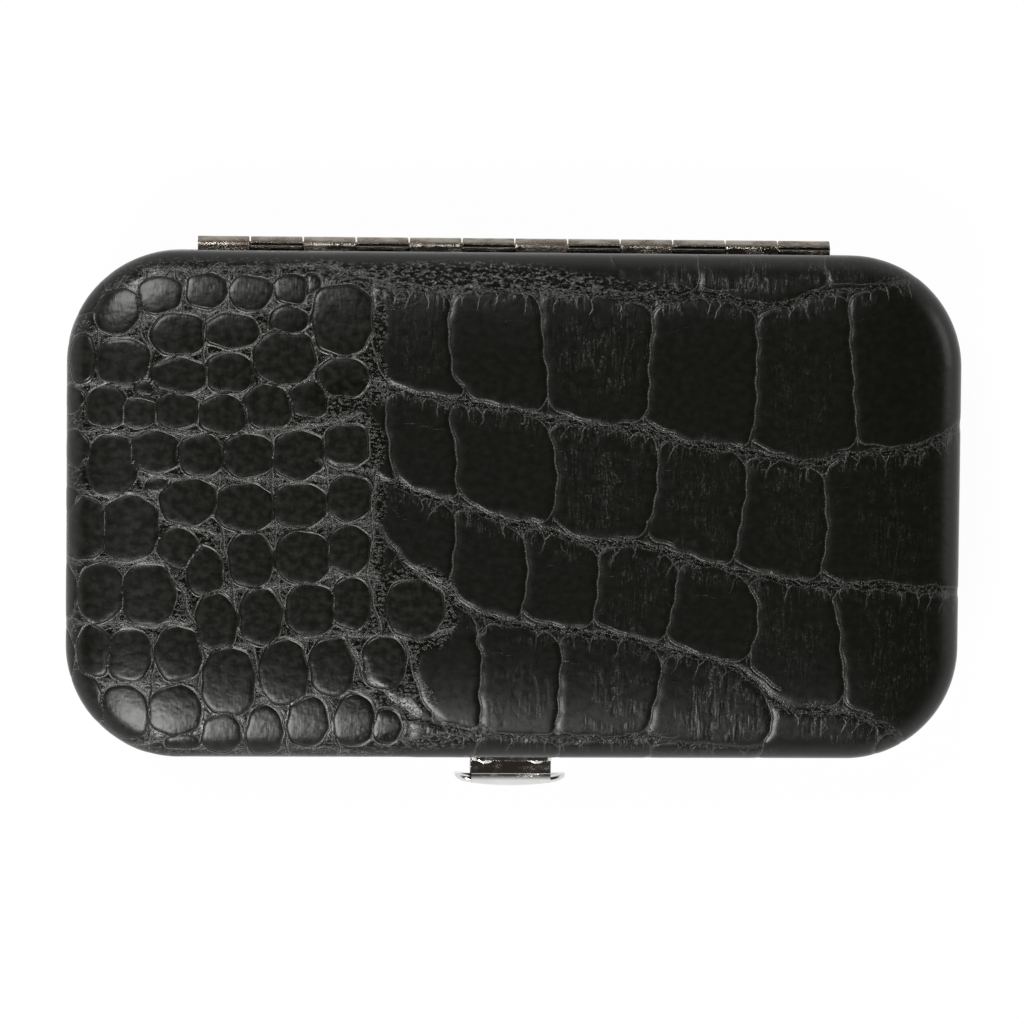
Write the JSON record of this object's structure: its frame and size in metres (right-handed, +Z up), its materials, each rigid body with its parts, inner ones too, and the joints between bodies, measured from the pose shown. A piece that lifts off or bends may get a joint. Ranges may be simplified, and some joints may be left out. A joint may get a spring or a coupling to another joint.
{
  "type": "manicure set case",
  "caption": "Closed pocket manicure case in black crocodile-embossed leather cloth, with a rear knuckle hinge, a chrome front snap clasp and a set of steel nail tools inside.",
  "frame": {"origin": "centre of the base half's outer face, on which the closed case lies", "axes": "+X along the case to the right of someone facing the clasp, +Y towards the hinge, +Z up through the lid"},
  "size_m": [0.115, 0.0712, 0.022],
  "materials": {
    "croc_leather": "semi-gloss crocodile emboss",
    "foam": "open-cell foam sheet",
    "shell_steel": "pressed sheet steel",
    "frame_black": "black lacquer",
    "velvet": "short velvet pile",
    "elastic": "woven elastic",
    "nickel": "bright nickel plate",
    "chrome": "bright chrome plate",
    "spring_steel": "drawn wire",
    "tool_steel": "polished stainless steel"
  },
  "bodies": {
    "base": {"base_skin": "croc_leather", "base_padding": "foam", "base_shell": "shell_steel", "base_frame": "frame_black", "base_lining": "velvet", "tool_tray": "velvet", "base_hinge_leaf": "nickel", "hinge_pin": "nickel", "base_leaf_rivets": "nickel", "clasp_bracket": "chrome", "bracket_rivets": "chrome", "clasp_pivot_pin": "chrome", "clasp_spring": "spring_steel", "clipper_lower_arm": "tool_steel", "clipper_upper_arm": "tool_steel", "clipper_lever": "tool_steel", "clipper_post": "tool_steel", "scissors_lower_half": "tool_steel", "scissors_upper_half": "tool_steel", "scissors_screw": "tool_steel"},
    "lid": {"lid_skin": "croc_leather", "lid_padding": "foam", "lid_shell": "shell_steel", "lid_frame": "frame_black", "lid_lining": "velvet", "lid_board": "velvet", "strap_left": "elastic", "strap_right": "elastic", "lid_hinge_leaf": "nickel", "lid_leaf_rivets": "nickel", "clasp_strike": "chrome", "strike_rivets": "chrome", "tweezers": "tool_steel", "nail_file": "tool_steel", "cuticle_pusher": "tool_steel"},
    "clasp": {"clasp_lever": "chrome"}
  },
  "joints": [
    {"name": "lid_hinge", "type": "hinge", "parent": "base", "child": "lid", "pos_m": [0, 0.033, 0.011], "axis": [-1, 0, 0], "range_deg": [0, 180]},
    {"name": "clasp_press", "type": "hinge", "parent": "base", "child": "clasp", "pos_m": [0, -0.0344, 0.0086], "axis": [1, 0, 0], "range_deg": [0, 22], "stiffness_Nm_per_rad": 0.05, "deforming": ["clasp_spring"]}
  ]
}
